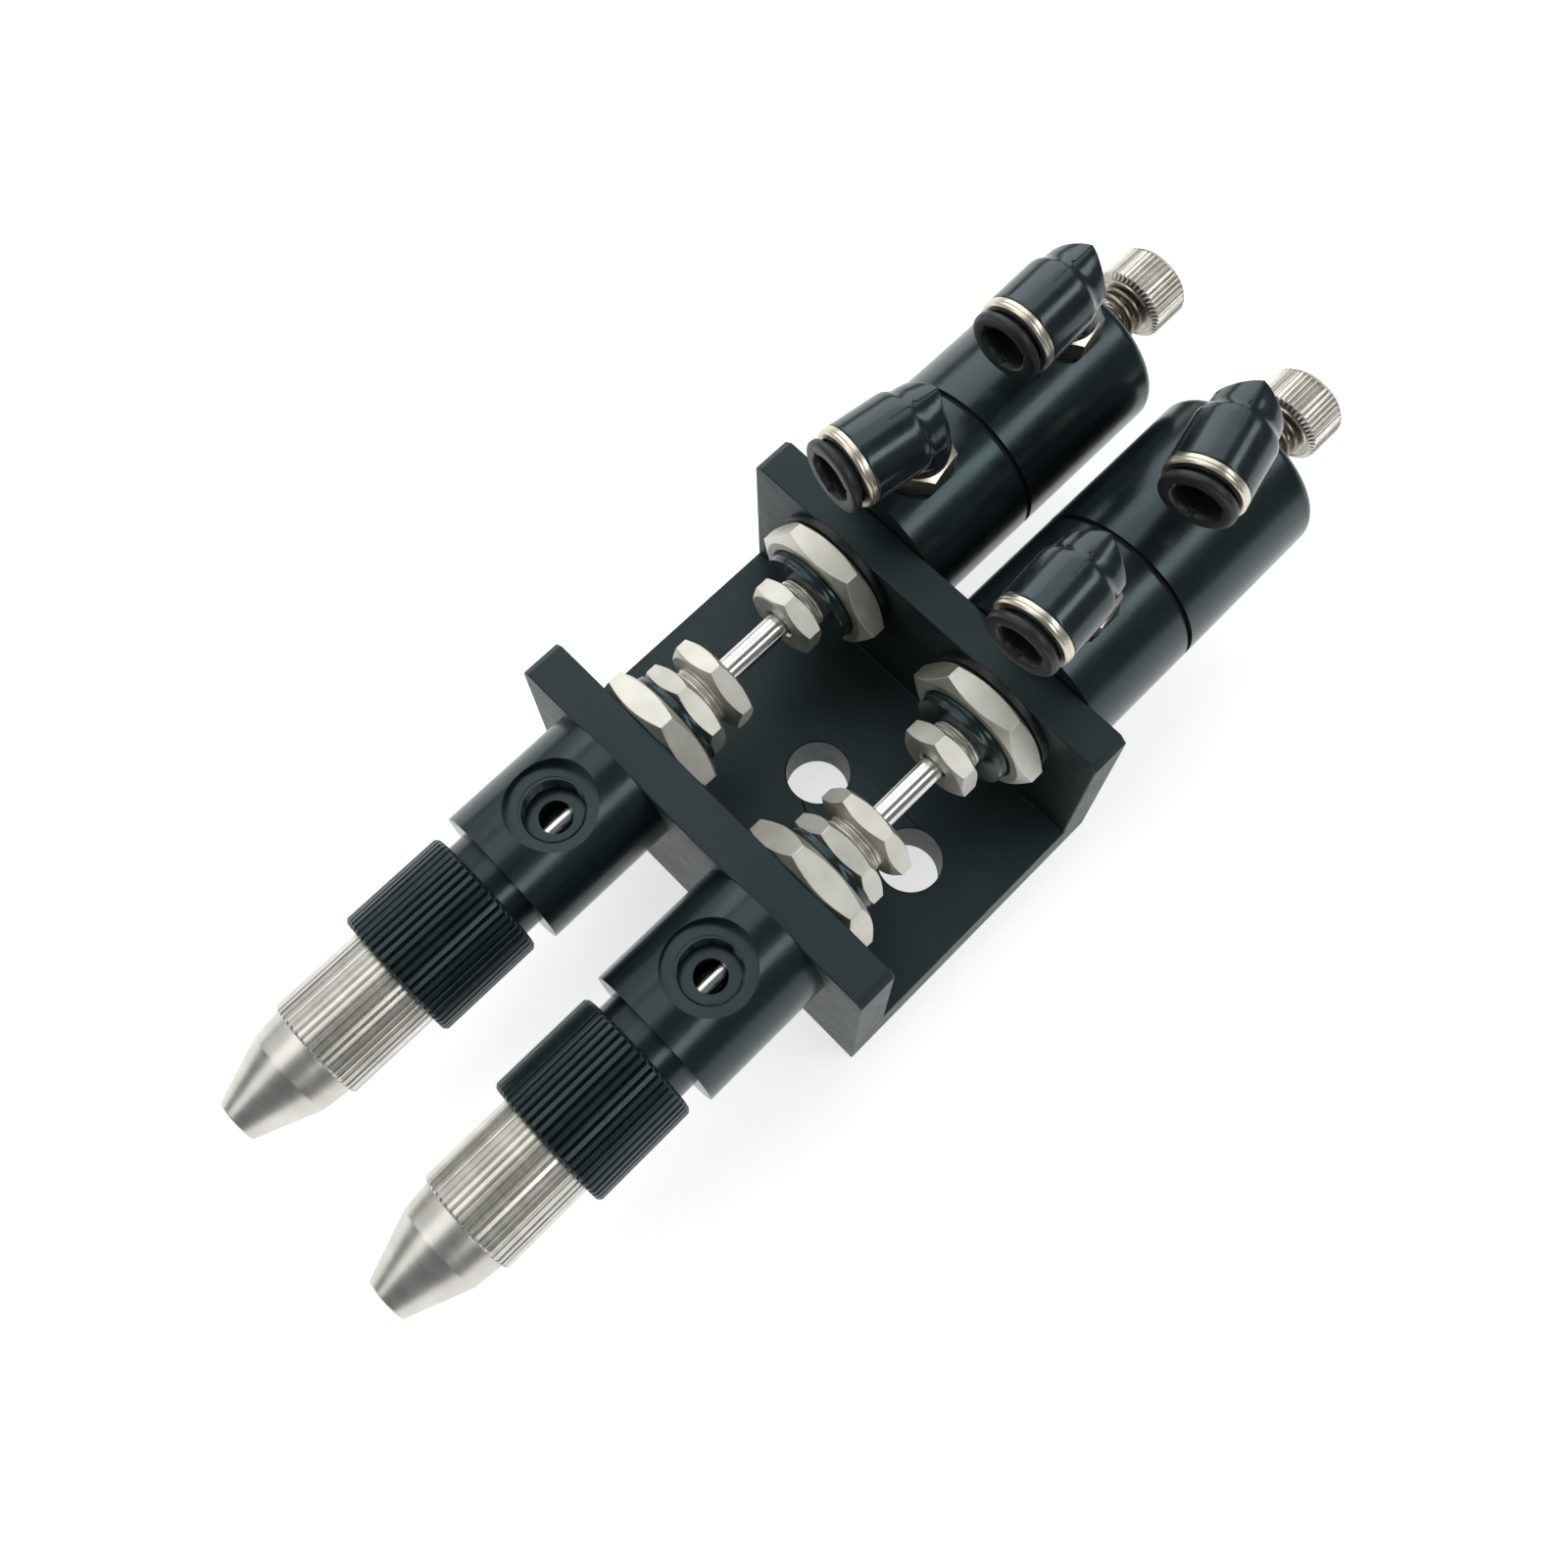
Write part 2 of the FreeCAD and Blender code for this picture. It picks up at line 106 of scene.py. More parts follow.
def object_of(name, bm):
    """A linked object of a bmesh, which is used up."""
    mesh = bpy.data.meshes.new(name)
    bm.to_mesh(mesh)
    bm.free()
    obj = bpy.data.objects.new(name, mesh)
    bpy.context.scene.collection.objects.link(obj)
    return obj


def break_edges(obj, by, angle):
    """Bevels the edges that turn more than `angle` degrees by `by` millimetres."""
    bevel = obj.modifiers.new("edges", "BEVEL")
    bevel.width = by * MM
    bevel.segments = 2
    bevel.limit_method = "ANGLE"
    bevel.angle_limit = math.radians(angle)
    bevel.use_clamp_overlap = True


def finish_mesh(name, bm, body, material, replaced=(), sharp=32.0, edge=0.0):
    """Turns a bmesh in millimetres into a smooth-shaded piece that rides on a body.

    Edges that turn more than `sharp` degrees stay crisp; `edge` mm breaks them. A piece with no body
    is left unattached.
    """
    bmesh.ops.recalc_face_normals(bm, faces=bm.faces)
    bmesh.ops.scale(bm, vec=(MM, MM, MM), verts=bm.verts)
    obj = object_of(name, bm)
    obj.data.shade_smooth()
    obj.data.set_sharp_from_angle(angle=math.radians(sharp))
    obj.data.materials.append(material)
    if edge:
        break_edges(obj, edge, 20)
    if body:
        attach(obj, body)
    if replaced:
        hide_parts(*replaced)
    return obj


def rounded(profile, radius, steps=3):
    """Closed (y, r) profile with its corners rounded; a third number is a corner's own radius.

    Points on the axis stay as they are.
    """
    out = []
    for i, point in enumerate(profile):
        here = Vector(point[:2])
        before = Vector(profile[i - 1][:2]) - here
        after = Vector(profile[(i + 1) % len(profile)][:2]) - here
        if (here.y < TINY or before.length < TINY or after.length < TINY
                or abs(before.angle(after) - math.pi) < 0.05):
            out.append((here.x, here.y))
            continue
        cut = min(point[2] if len(point) > 2 else radius, before.length * 0.45, after.length * 0.45)
        a, b = here + before.normalized() * cut, here + after.normalized() * cut
        for k in range(steps + 1):
            t = k / steps
            p = a * (1 - t) ** 2 + here * 2 * t * (1 - t) + b * t * t
            out.append((p.x, p.y))
    return out


def around(a, r, y):
    """The point at angle a and radius r about the Y axis."""
    return r * math.cos(a), y, r * math.sin(a)


def ring_into(bm, segments, place):
    """A ring of vertices, where place(angle) gives each one's point."""
    return [bm.verts.new(place(TAU * k / segments)) for k in range(segments)]


def skin_into(bm, loops, closed=False):
    """Faces between neighbouring rings, and from last to first if closed. One vertex alone is a pole."""
    for first, second in zip(loops, loops[1:] + loops[:1] if closed else loops[1:]):
        count = max(len(first), len(second))
        for k in range(count if count > 1 else 0):
            n = (k + 1) % count
            if len(first) == 1:
                bm.faces.new((first[0], second[n], second[k]))
            elif len(second) == 1:
                bm.faces.new((first[k], first[n], second[0]))
            else:
                bm.faces.new((first[k], first[n], second[n], second[k]))


def capped_skin_into(bm, loops):
    """Faces between neighbouring rings, and one flat face at each end."""
    skin_into(bm, loops)
    bm.faces.new(loops[0][::-1])
    bm.faces.new(loops[-1])


def lathe_into(bm, profile, segments=128, radius_at=None):
    """Revolves a closed (y, r) profile about Y. radius_at(y, r, angle) may shape the surface."""
    loops = []
    for y, r in profile:
        if r < TINY:
            loops.append([bm.verts.new((0, y, 0))])
        else:
            shape = radius_at or (lambda y, r, a: r)
            loops.append(ring_into(bm, segments, lambda a: around(a, shape(y, r, a), y)))
    skin_into(bm, loops, closed=True)


def move_to(bm, x, y, z, turn=None):
    """Turns a whole bmesh about the origin, then moves it."""
    if turn is not None:
        bmesh.ops.rotate(bm, verts=bm.verts, matrix=turn)
    bmesh.ops.translate(bm, verts=bm.verts, vec=(x, y, z))


def lathe(name, profile, x, body, material, replaced=(), segments=128, radius_at=None):
    """A turned piece about a head's axis."""
    bm = bmesh.new()
    lathe_into(bm, profile, segments, radius_at)
    move_to(bm, x, 0, AXIS_Z)
    finish_mesh(name, bm, body, material, replaced)


def knurl(teeth, depth, start, stop, lead, crest=0.35, above=0.0):
    """Straight ridges between two stations, running out over `lead` at each end.

    crest is the share of each ridge that stands at full height. Points at a radius of `above` or less
    stay as they are.
    """
    def shape(y, r, angle):
        inside = min((y - start) / lead, (stop - y) / lead)
        if inside <= 0 or r <= above:
            return r
        t = (angle * teeth / TAU) % 1.0
        ramp = min(abs(t - 0.5) * 2 / (1 - crest), 1.0)
        return r - depth * (1 - ramp) * min(inside, 1.0)
    return shape


def thread_rings(bm, y0, y1, major, pitch, depth, segments=72):
    """Rings of a helical ridge about Y between two stations, which fades out at both ends."""
    rows = max(int((y1 - y0) / pitch * 8), 4)
    rings = []
    for j in range(rows + 1):
        y = y0 + (y1 - y0) * j / rows
        fade = min(1.0, (y - y0) / (pitch * 0.5) + 0.02, (y1 - y) / (pitch * 0.5) + 0.02)

        def place(a):
            t = ((y - y0) / pitch - a / TAU) % 1.0
            ridge = min(1.0, (1 - abs(2 * t - 1)) * 1.35)
            return around(a, major / 2 - depth * (1 - ridge) - depth * 0.4 * (1 - fade), y)

        rings.append(ring_into(bm, segments, place))
    return rings


def threaded_sleeve(name, y0, y1, major, bore, pitch, depth, x, material):
    """A short threaded tube on the frame: helical outside, plain bore."""
    bm = bmesh.new()
    rings = thread_rings(bm, y0, y1, major, pitch, depth)
    walls = [ring_into(bm, len(rings[0]), lambda a: around(a, bore / 2, y)) for y in (y0, y1)]
    skin_into(bm, [walls[0], *rings, walls[1]], closed=True)
    move_to(bm, x, 0, AXIS_Z)
    finish_mesh(name, bm, "frame", material)


def tube_into(bm, points, radius, sides):
    """A round tube along a list of points, with closed ends."""
    points = [Vector(point) for point in points]
    loops = []
    normal = None
    for i, point in enumerate(points):
        tangent = (points[min(i + 1, len(points) - 1)] - points[max(i - 1, 0)]).normalized()
        if normal is None:
            normal = tangent.orthogonal().normalized()
        normal = (normal - tangent * normal.dot(tangent)).normalized()
        side = tangent.cross(normal)
        loops.append(ring_into(
            bm, sides, lambda a: point + (normal * math.cos(a) + side * math.sin(a)) * radius))
    capped_skin_into(bm, loops)


# ---- materials ----------------------------------------------------------------------------------
def grain_into(tree, scale, detail, rough=0.6):
    """Noise in the piece's own coordinates; scale is cycles per metre along x, y and z."""
    coords = tree.nodes.new("ShaderNodeTexCoord")
    mapping = tree.nodes.new("ShaderNodeMapping")
    mapping.inputs["Scale"].default_value = scale
    tree.links.new(coords.outputs["Object"], mapping.inputs["Vector"])
    tex = tree.nodes.new("ShaderNodeTexNoise")
    tex.inputs["Scale"].default_value = 1.0
    tex.inputs["Detail"].default_value = detail
    tex.inputs["Roughness"].default_value = rough
    tree.links.new(mapping.outputs["Vector"], tex.inputs["Vector"])
    return tex.outputs["Fac"]


def ramp_into(tree, value, low, high, stops):
    """Colour ramp between two positions of a value; stops are colours or greys."""
    ramp = tree.nodes.new("ShaderNodeValToRGB")
    ramp.color_ramp.elements[0].position = low
    ramp.color_ramp.elements[1].position = high
    for element, stop in zip(ramp.color_ramp.elements, stops):
        element.color = (*stop, 1) if isinstance(stop, tuple) else (stop, stop, stop, 1)
    tree.links.new(value, ramp.inputs["Fac"])
    return ramp.outputs["Color"]


def mix_into(tree, factor, first, colour):
    """A plain colour over the first one, by a factor."""
    mix = tree.nodes.new("ShaderNodeMix")
    mix.data_type = "RGBA"
    factor_in, first_in, second_in = mix.inputs[0], mix.inputs[6], mix.inputs[7]
    tree.links.new(factor, factor_in)
    tree.links.new(first, first_in)
    second_in.default_value = (*colour, 1)
    return mix.outputs[2]


def surface(name, dark, light, rough, metallic=0.0, specular=0.5, coat=0.0, coat_rough=0.1,
            mottle=(90, 90, 90), bumps=(), specks=None, tint=(1.0, 1.0, 1.0)):
    """A procedural finish.

    dark and light are mixed by a slow mottle; rough is the lowest and highest roughness; bumps are
    (scale xyz, strength, height in mm) layers; specks are (scale, threshold, colour); tint colours
    the gloss.
    """
    mat = bpy.data.materials.new(name)
    mat.use_nodes = True
    tree = mat.node_tree
    shader = tree.nodes["Principled BSDF"]
    shader.inputs["Metallic"].default_value = metallic
    shader.inputs["Specular IOR Level"].default_value = specular
    shader.inputs["Specular Tint"].default_value = (*tint, 1)
    shader.inputs["Coat Weight"].default_value = coat
    shader.inputs["Coat Roughness"].default_value = coat_rough
    colour = ramp_into(tree, grain_into(tree, mottle, 5.0), 0.35, 0.65, (dark, light))
    if specks:
        scale, threshold, speck = specks
        mask = ramp_into(tree, grain_into(tree, (scale,) * 3, 2.0), threshold, threshold + 0.05, (0.0, 1.0))
        colour = mix_into(tree, mask, colour, speck)
    tree.links.new(colour, shader.inputs["Base Color"])
    worn = grain_into(tree, tuple(4.0 * s for s in mottle), 6.0, 0.7)
    tree.links.new(ramp_into(tree, worn, 0.3, 0.7, rough), shader.inputs["Roughness"])
    normal = None
    for scale, strength, height in bumps:
        bump = tree.nodes.new("ShaderNodeBump")
        bump.inputs["Strength"].default_value = strength
        bump.inputs["Distance"].default_value = height * MM
        tree.links.new(grain_into(tree, scale, 3.0), bump.inputs["Height"])
        if normal is not None:
            tree.links.new(normal, bump.inputs["Normal"])
        normal = bump.outputs["Normal"]
    if normal is not None:
        tree.links.new(normal, shader.inputs["Normal"])
    return mat


TURNED = (220, 11000, 220)      # fine rings left by turning, along the head's axis
COOL = (0.72, 0.96, 1.0)        # blue-green cast of black anodising
BLACK = (0.006, 0.010, 0.011)   # its darkest base
M = {
    "body": surface("anodised_turned", BLACK, (0.010, 0.015, 0.016), (0.18, 0.27),
                    mottle=(140, 60, 140), bumps=((TURNED, 0.08, 0.004), ((2600,) * 3, 0.04, 0.004)),
                    specks=(2300, 0.74, (0.03, 0.035, 0.035)), tint=COOL),
    "collar": surface("anodised_knurl", BLACK, (0.011, 0.016, 0.017), (0.26, 0.36), specular=0.5,
                      mottle=(300, 300, 300), bumps=(((4200,) * 3, 0.10, 0.008),), tint=COOL),
    "bracket": surface("anodised_blasted", BLACK, (0.010, 0.015, 0.016), (0.42, 0.54), specular=0.45,
                       mottle=(70, 110, 90), bumps=(((5200,) * 3, 0.22, 0.008), ((900,) * 3, 0.05, 0.01)),
                       specks=(2600, 0.73, (0.035, 0.042, 0.042)), tint=COOL),
    "washer": surface("black_oxide", (0.008, 0.009, 0.009), (0.018, 0.019, 0.019), (0.38, 0.5),
                      metallic=0.5, mottle=(300, 300, 300), bumps=(((3500,) * 3, 0.1, 0.01),)),
    "nozzle": surface("nickel_turned", (0.56, 0.545, 0.50), (0.66, 0.645, 0.60), (0.28, 0.36),
                      metallic=1.0, mottle=(120, 400, 120), bumps=(((3200,) * 3, 0.03, 0.002),)),
    "hexagon": surface("nickel_plate", (0.56, 0.55, 0.49), (0.66, 0.645, 0.585), (0.44, 0.53),
                       metallic=1.0, mottle=(240, 240, 240), bumps=(((2600,) * 3, 0.04, 0.003),)),
    "polished": surface("ground_steel", (0.60, 0.60, 0.58), (0.70, 0.70, 0.68), (0.14, 0.22),
                        metallic=1.0, mottle=(200, 60, 200), bumps=(((3200,) * 3, 0.02, 0.002),)),
    "fitting": surface("nickel_on_brass", (0.60, 0.555, 0.45), (0.68, 0.635, 0.53), (0.26, 0.34),
                       metallic=1.0, mottle=(160, 160, 160), bumps=(((6000,) * 3, 0.03, 0.002),)),
    "tan": surface("brass_base", (0.30, 0.22, 0.13), (0.46, 0.36, 0.24), (0.28, 0.42), metallic=1.0,
                   mottle=(400, 400, 400), bumps=(((2600,) * 3, 0.06, 0.005),)),
    "elbow": surface("moulded_gloss", (0.005, 0.008, 0.010), (0.010, 0.014, 0.017), (0.17, 0.27),
                     specular=0.5, coat=0.2, coat_rough=0.16, mottle=(160, 160, 160),
                     bumps=(((700,) * 3, 0.10, 0.01), ((3800,) * 3, 0.04, 0.004)), tint=COOL),
    # Parting line: the raised ridge is real; its colour, darker than the moulding, is painted shade along
    # the line.
    "parting": surface("parting_ridge_painted_shade", (0.002, 0.003, 0.003), (0.005, 0.006, 0.006), (0.35, 0.5),
                       mottle=(600,) * 3, bumps=(((3800,) * 3, 0.1, 0.004),)),
    "release": surface("moulded_matte", (0.006, 0.007, 0.008), (0.011, 0.013, 0.014), (0.36, 0.50),
                       specular=0.45, mottle=(260, 260, 260), bumps=(((3400,) * 3, 0.16, 0.006),)),
    "spring": surface("drawn_wire", (0.19, 0.155, 0.12), (0.33, 0.285, 0.23), (0.28, 0.42),
                      metallic=1.0, mottle=(700, 700, 700), bumps=(((4200,) * 3, 0.12, 0.005),)),
    "screw": surface("nickel_screw", (0.50, 0.48, 0.43), (0.60, 0.58, 0.53), (0.24, 0.36), metallic=1.0,
                     mottle=(260, 500, 260), bumps=(((3000,) * 3, 0.08, 0.004),)),
    "rubber": surface("nitrile", (0.004, 0.004, 0.005), (0.009, 0.009, 0.010), (0.5, 0.7),
                      specular=0.35, mottle=(400,) * 3, bumps=(((3200,) * 3, 0.2, 0.01),)),
    "ptfe": surface("ptfe", (0.78, 0.78, 0.75), (0.88, 0.88, 0.86), (0.38, 0.5), mottle=(300,) * 3,
                    bumps=((TURNED, 0.15, 0.01),)),
    "aluminium": surface("turned_aluminium", (0.66, 0.66, 0.67), (0.78, 0.78, 0.79), (0.26, 0.38),
                         metallic=1.0, mottle=(200, 400, 200), bumps=((TURNED, 0.2, 0.01),)),
}

CAD_FINISH = {
    "bracket": "bracket", "nozzle_nut": "nozzle", "knurled_collar": "collar", "nozzle_stem": "polished",
    "valve_body": "body", "body_nut": "hexagon", "packing": "ptfe", "gland_nut": "hexagon",
    "gland_screw": "hexagon", "needle": "polished", "rod_bush": "hexagon", "rod_seal": "rubber",
    "flange_washer": "washer", "cylinder_nut": "hexagon", "cylinder_barrel": "body",
    "seam_ring": "rubber", "cylinder_cap": "body", "piston": "aluminium", "piston_seal": "rubber",
    "piston_nut": "hexagon", "adjusting_screw": "screw", "adjusting_spring": "spring", "stud": "fitting",
    "elbow": "elbow", "ring": "fitting", "release": "release",
}
EDGE_BREAK = {"bracket": 0.25, "flange_washer": 0.1}    # mm, on CAD nodes that show as they are


def kind_of(node):
    """The kind of a CAD node: its name without its side, or only the last word of an elbow's piece."""
    plain = node.split("_", 1)[-1]
    return plain if plain in CAD_FINISH else plain.split("_")[-1]


for node_name, node_object in nodes.items():
    kind = kind_of(node_name)
    node_object.data.materials.clear()
    node_object.data.materials.append(M[CAD_FINISH[kind]])
    if kind in EDGE_BREAK:
        weld = node_object.modifiers.new("weld", "WELD")
        weld.merge_threshold = 0.002 * MM
        break_edges(node_object, EDGE_BREAK[kind], 35)
        node_object.modifiers.new("shade", "WEIGHTED_NORMAL")


# ---- sizes that repeat the CAD's (mm) -----------------------------------------------------------
BIG_AF = 18.0           # across flats: the two thin nuts at the flanges
GLAND_AF = 12.4         # gland nut and gland screw
BUSH_AF = 10.0          # rod bush
NOSE_R = 7.0            # screwed noses of the valve body and of the cylinder
GLAND_THREAD = 8.0
GLAND_HEAD = 3.0        # thickness of the gland screw's head
BUSH_THREAD = 7.0
BUSH_HEAD = 3.1
ROD_BORE_R = 2.05       # plain bores round the needle
ORIFICE_R = 1.2
NOZZLE_R = 7.14
NOZZLE_BORE_R = 4.58
COLLAR_BORE_R = 6.08
PORT_BACK = 9.4         # the port's axis in front of the bracket
PORT_R = 4.33
PORT_FACE = 6.8         # the port's spot face above the head's axis
SCREW_R = 2.5
SCREW_HEAD = 6.8        # length and radius of the thumb screw's head
SCREW_HEAD_R = 5.75
ELBOW_R = 5.6
HEEL_R = 4.9
SHOULDER = 2.4          # where the elbow's barrel begins to narrow, in front of the stud's axis
RISE = 23.7             # the elbow's mouth axis above the head's axis
REACH = 14.2            # the release collar's face in front of the stud's axis
RING_W = 1.4
RING_OUT = 2.0          # the release collar's face in front of the mouth ring
MOUTH_R = 4.55
RELEASE_R = 5.2
SLEEVE_R = 4.1
TUBE_R = 3.1
BOSS_LOW = 15.9
BOSS_R = 4.3
NECK_R = 3.85
PROW = 2.2              # the heel's point behind the stud's axis
PROW_SLOPE = 0.45       # how fast the heel falls back from it, to the sides


# ---- nozzle, collar, port -----------------------------------------------------------------------
def nozzle_nut(side, x):
    node = side + "_nozzle_nut"
    tip, back = span(node, 1)
    band, knurled, seat = tip + 8.05, tip + 12.0, tip + 7.1
    outer = [(tip, ORIFICE_R, 0.15), (tip, 2.95, 0.25), (band - 0.15, 6.02, 0.3), (band + 0.1, 6.12, 0.1),
             (knurled - 0.12, 6.5, 0.05), (knurled, 6.5, 0.05), (knurled + 0.02, 6.75, 0.05),
             (knurled + 0.3, NOZZLE_R, 0.1), (back - 1.3, NOZZLE_R, 0.1), (back, NOZZLE_R - 0.14, 0.2),
             (back, NOZZLE_BORE_R, 0.1), (seat, NOZZLE_BORE_R, 0.1), (seat, ORIFICE_R, 0.1)]
    teeth = 46
    lathe(node + "_turned", rounded(outer, 0.1), x, side + "_nozzle_nut", M["nozzle"], (node,),
          teeth * 8, knurl(teeth, 0.40, knurled - 0.05, back + 1, 0.3, 0.5))


def collar(side, x):
    node = side + "_knurled_collar"
    front, back = span(node, 1)
    r = width(node, 0) / 2
    low = 7.4
    outer = [(front, low, 0.1), (front, r - 0.45, 0.12), (front + 0.45, r, 0.15), (back - 0.45, r, 0.15),
             (back, r - 0.45, 0.12), (back, low + 0.15, 0.1), (back - 1.3, low + 0.15, 0.1),
             (back - 1.3, COLLAR_BORE_R, 0.1), (front + 1.3, COLLAR_BORE_R, 0.1), (front + 1.3, low, 0.1)]
    teeth = 52
    lathe(node + "_turned", rounded(outer, 0.2), x, side + "_collar", M["collar"], (node,),
          teeth * 8, knurl(teeth, 0.5, front - 0.1, back + 0.1, 0.7, 0.5, above=8.0))


def port_thread(side, x):
    """Internal thread of the fluid port: a ring with a helical inside, standing along Z."""
    top, deep, pitch, rows, segments = AXIS_Z + PORT_FACE - 0.15, 3.0, 0.75, 40, 96
    bm = bmesh.new()

    def ring_at(z, depth=None):
        def place(a):
            r = PORT_R
            if depth is not None:
                t = ((top - z) / pitch - a / TAU) % 1.0
                r = PORT_R - 0.05 - depth * max(0.0, 1 - abs(2 * t - 1) * 1.25)
            return r * math.cos(a), r * math.sin(a), z
        return ring_into(bm, segments, place)

    threads = [ring_at(top - deep * j / rows, 0.42) for j in range(rows + 1)]
    skin_into(bm, [ring_at(top), *threads, ring_at(top - deep)], closed=True)
    move_to(bm, x, span("bracket", 1)[0] - PORT_BACK, 0)
    finish_mesh(side + "_port_thread", bm, "frame", M["body"])


def visible_threads(side, x):
    """Helical threads where the screwed noses and shanks show between the nuts."""
    nose_front = span(side + "_cylinder_barrel", 1)[0]
    gland_back = span(side + "_gland_nut", 1)[1]
    bush_back = span(side + "_rod_bush", 1)[0] + BUSH_HEAD
    for kind, y0, y1, root, proud, pitch, depth, material in (
            ("body", span(side + "_body_nut", 1)[1], span(side + "_valve_body", 1)[1],
             2 * NOSE_R, 0.24, 1.0, 0.1, "body"),
            ("gland", gland_back, gland_back + 1.95, GLAND_THREAD, 0.5, 0.75, 0.24, "hexagon"),
            ("bush", bush_back, nose_front, BUSH_THREAD, 0.5, 0.6, 0.22, "hexagon"),
            ("nose", nose_front, span(side + "_cylinder_nut", 1)[0], 2 * NOSE_R, 0.24, 1.0, 0.1, "body")):
        threaded_sleeve(side + "_" + kind + "_thread", y0 + 0.02, y1 - 0.02, root + proud, root + 0.02,
                        pitch, depth, x, M[material])


# ---- hexagons -----------------------------------------------------------------------------------
def corner_angle(node, x):
    """Angle of a hexagon's corner about the head's axis, from the CAD node's furthest vertex."""
    far, angle = 0.0, 0.0
    for vert in nodes[node].data.vertices:
        dx, dz = vert.co.x / MM - x, vert.co.z / MM - AXIS_Z
        if math.hypot(dx, dz) > far + 1e-4:
            far, angle = math.hypot(dx, dz), math.atan2(dz, dx)
    return angle


def hexagon_into(bm, af, y0, y1, inner, turn, countersink=0.4):
    """A hexagon about Y with lens-shaped chamfers at both ends; inner is the bore or shank radius."""
    count = 6 * 24
    flat = af / 2 * 0.955
    slope = math.tan(math.radians(30))
    radii = [af / 2 / math.cos((TAU * k / count) % (TAU / 6) - TAU / 12) for k in range(count)]
    stations = [lambda r: (y0 + countersink, inner), lambda r: (y0, inner + countersink),
                lambda r: (y0, flat), lambda r: (y0 + (r - flat) * slope, r),
                lambda r: (y1 - (r - flat) * slope, r), lambda r: (y1, flat),
                lambda r: (y1, inner + countersink), lambda r: (y1 - countersink, inner)]
    loops = []
    for station in stations:
        loop = []
        for k, r in enumerate(radii):
            y, rr = station(r)
            loop.append(bm.verts.new(around(turn + TAU * k / count, rr, y)))
        loops.append(loop)
    skin_into(bm, loops, closed=True)


def hexagons(side, x):
    """The five nuts and hexagon heads, crisp and plated, with the screwed shanks of the heads."""
    for kind, af, bore in (("body_nut", BIG_AF, NOSE_R + 0.05), ("cylinder_nut", BIG_AF, NOSE_R + 0.05),
                           ("gland_nut", GLAND_AF, GLAND_THREAD / 2 + 0.05)):
        node = side + "_" + kind
        bm = bmesh.new()
        hexagon_into(bm, af, *span(node, 1), bore, corner_angle(node, x))
        move_to(bm, x, 0, AXIS_Z)
        finish_mesh(node + "_plated", bm, "frame", M["hexagon"], (node,), sharp=20, edge=0.07)
    for kind, af, thick, head_at_back, shank in (
            ("gland_screw", GLAND_AF, GLAND_HEAD, True, GLAND_THREAD),
            ("rod_bush", BUSH_AF, BUSH_HEAD, False, BUSH_THREAD)):
        node = side + "_" + kind
        y0, y1 = span(node, 1)
        head = (y1 - thick, y1) if head_at_back else (y0, y0 + thick)
        bm = bmesh.new()
        hexagon_into(bm, af, *head, ROD_BORE_R, corner_angle(node, x), 0.3)
        low, high = (y0, y1 - thick + 0.1) if head_at_back else (y0 + thick - 0.1, y1)
        tube = [(low, ROD_BORE_R), (low, shank / 2), (high, shank / 2), (high, ROD_BORE_R)]
        lathe_into(bm, rounded(tube, 0.1), 96)
        move_to(bm, x, 0, AXIS_Z)
        finish_mesh(node + "_plated", bm, "frame", M["hexagon"], (node,), sharp=20, edge=0.06)


# ---- adjusting screw and spring -----------------------------------------------------------------
def adjusting_screw(side, x):
    """Turned and knurled thumb screw, with its thread as a piece of its own."""
    node = side + "_adjusting_screw"
    tip, back = span(node, 1)
    head = back - SCREW_HEAD
    thread_front = head - 8.2
    root = SCREW_R - 0.24
    outer = [(tip, 0), (tip, SCREW_R - 0.5, 0.1), (tip + 0.5, SCREW_R, 0.1), (thread_front, SCREW_R, 0.1),
             (thread_front + 0.1, root, 0.05), (head, root, 0.05), (head, 4.2, 0.05),
             (head + 0.25, 4.35, 0.05), (head + 0.25, 4.75, 0.05), (head, 4.9, 0.1),
             (head + 0.55, SCREW_HEAD_R, 0.15), (back - 0.75, SCREW_HEAD_R, 0.15), (back, 5.1, 0.15),
             (back, 3.1, 0.1), (back - 0.25, 2.9, 0.1), (back - 0.25, 0)]
    teeth = 44
    lathe(node + "_turned", rounded(outer, 0.1), x, side + "_screw", M["screw"], (node,),
          teeth * 8, knurl(teeth, 0.36, head - 0.05, back + 0.1, 0.6, above=4.95))
    bm = bmesh.new()
    capped_skin_into(bm, thread_rings(bm, thread_front, head - 0.1, 2 * SCREW_R + 0.06, 0.8, 0.3, 48))
    move_to(bm, x, 0, AXIS_Z)
    finish_mesh(side + "_screw_thread", bm, side + "_screw", M["screw"])


def adjusting_spring(side, x):
    """Coil spring with closed ends, drawn between the cylinder cap and the screw's head."""
    node = side + "_adjusting_spring"
    front, back = span(node, 1)
    wire, turns, steps = 0.5, 4.4, 260
    closed, rise = 0.7, 0.35        # turns of each closed end, and how far it climbs
    r = width(node, 0) / 2 - wire
    start, stop = front + wire, back - wire
    points = []
    for i in range(steps + 1):
        turn = turns * i / steps
        if turn < closed:
            y = start + rise * turn / closed
        elif turn > turns - closed:
            y = stop - rise * (turns - turn) / closed
        else:
            y = start + rise + (stop - start - 2 * rise) * (turn - closed) / (turns - 2 * closed)
        points.append(around(TAU * turn + 0.6, r, y))
    bm = bmesh.new()
    tube_into(bm, points, wire, 14)
    move_to(bm, x, 0, AXIS_Z)
    coil = finish_mesh(node + "_coil", bm, None, M["spring"], (node,))
    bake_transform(coil)


